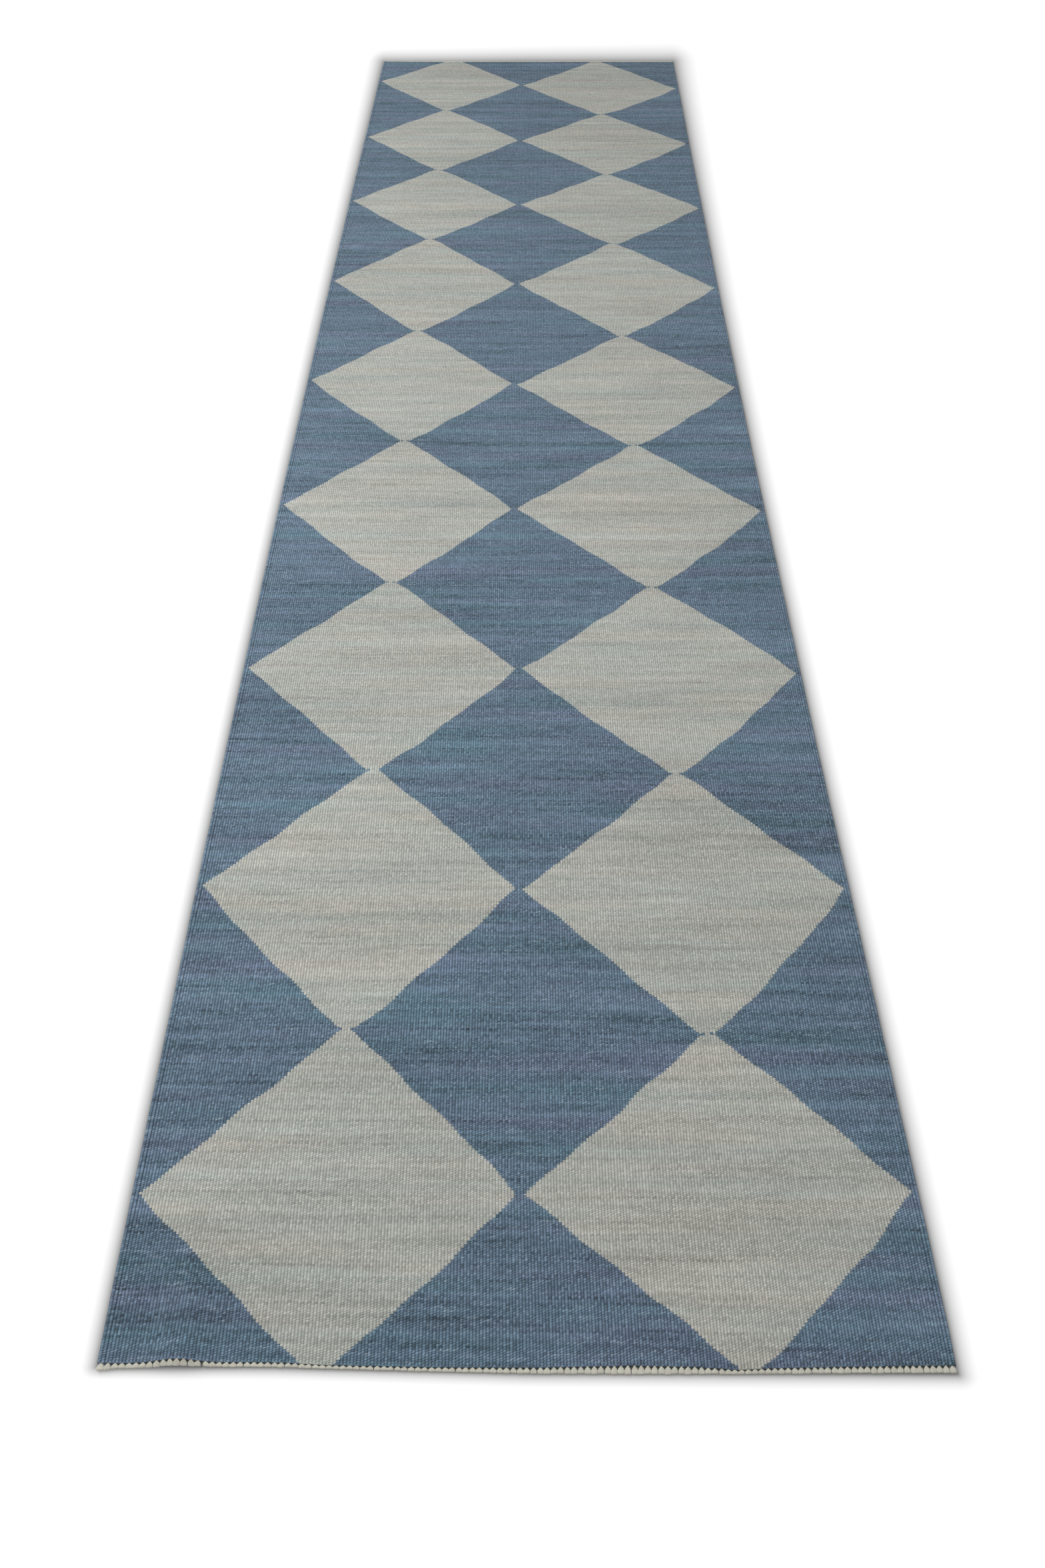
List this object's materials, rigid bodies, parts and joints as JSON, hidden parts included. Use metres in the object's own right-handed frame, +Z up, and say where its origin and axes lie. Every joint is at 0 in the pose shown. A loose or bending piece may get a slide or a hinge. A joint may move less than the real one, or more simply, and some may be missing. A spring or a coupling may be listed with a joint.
{
  "type": "runner rug",
  "caption": "Long flat-woven wool runner rug with two columns of light diamonds on a blue ground, wrapped edges and knotted warp ends.",
  "frame": {"origin": "centre of the underside, on the floor that the rug lies on", "axes": "+X across the width to the right seen from the near end, +Y along the length from the near end to the far end, +Z up out of the face"},
  "size_m": [0.84, 3.9552, 0.0038],
  "materials": {
    "light_wool": "matte warm-grey hand-spun wool, weft-faced plain weave with lighter and darker streaks across the width",
    "blue_wool": "matte denim-blue hand-spun wool, weft-faced plain weave with lighter and darker streaks across the width",
    "cotton": "matte undyed cream cotton yarn"
  },
  "bodies": {
    "root": {"light_diamond_left_1": "light_wool", "light_diamond_right_1": "light_wool", "light_diamond_left_2": "light_wool", "light_diamond_right_2": "light_wool", "light_diamond_left_3": "light_wool", "light_diamond_right_3": "light_wool", "light_diamond_left_4": "light_wool", "light_diamond_right_4": "light_wool", "light_diamond_left_5": "light_wool", "light_diamond_right_5": "light_wool", "light_diamond_left_6": "light_wool", "light_diamond_right_6": "light_wool", "light_diamond_left_7": "light_wool", "light_diamond_right_7": "light_wool", "light_diamond_left_8": "light_wool", "light_diamond_right_8": "light_wool", "light_diamond_left_9": "light_wool", "light_diamond_right_9": "light_wool", "blue_field_left_1": "blue_wool", "blue_field_centre_1": "blue_wool", "blue_field_right_1": "blue_wool", "blue_field_left_2": "blue_wool", "blue_field_centre_2": "blue_wool", "blue_field_right_2": "blue_wool", "blue_field_left_3": "blue_wool", "blue_field_centre_3": "blue_wool", "blue_field_right_3": "blue_wool", "blue_field_left_4": "blue_wool", "blue_field_centre_4": "blue_wool", "blue_field_right_4": "blue_wool", "blue_field_left_5": "blue_wool", "blue_field_centre_5": "blue_wool", "blue_field_right_5": "blue_wool", "blue_field_left_6": "blue_wool", "blue_field_centre_6": "blue_wool", "blue_field_right_6": "blue_wool", "blue_field_left_7": "blue_wool", "blue_field_centre_7": "blue_wool", "blue_field_right_7": "blue_wool", "blue_field_left_8": "blue_wool", "blue_field_centre_8": "blue_wool", "blue_field_right_8": "blue_wool", "blue_field_left_9": "blue_wool", "blue_field_centre_9": "blue_wool", "blue_field_right_9": "blue_wool", "blue_field_left_10": "blue_wool", "blue_field_centre_10": "blue_wool", "blue_field_right_10": "blue_wool", "selvedge_left": "blue_wool", "selvedge_right": "blue_wool", "cotton_warps": "cotton", "near_warp_knots": "cotton", "far_warp_knots": "cotton"}
  },
  "joints": []
}
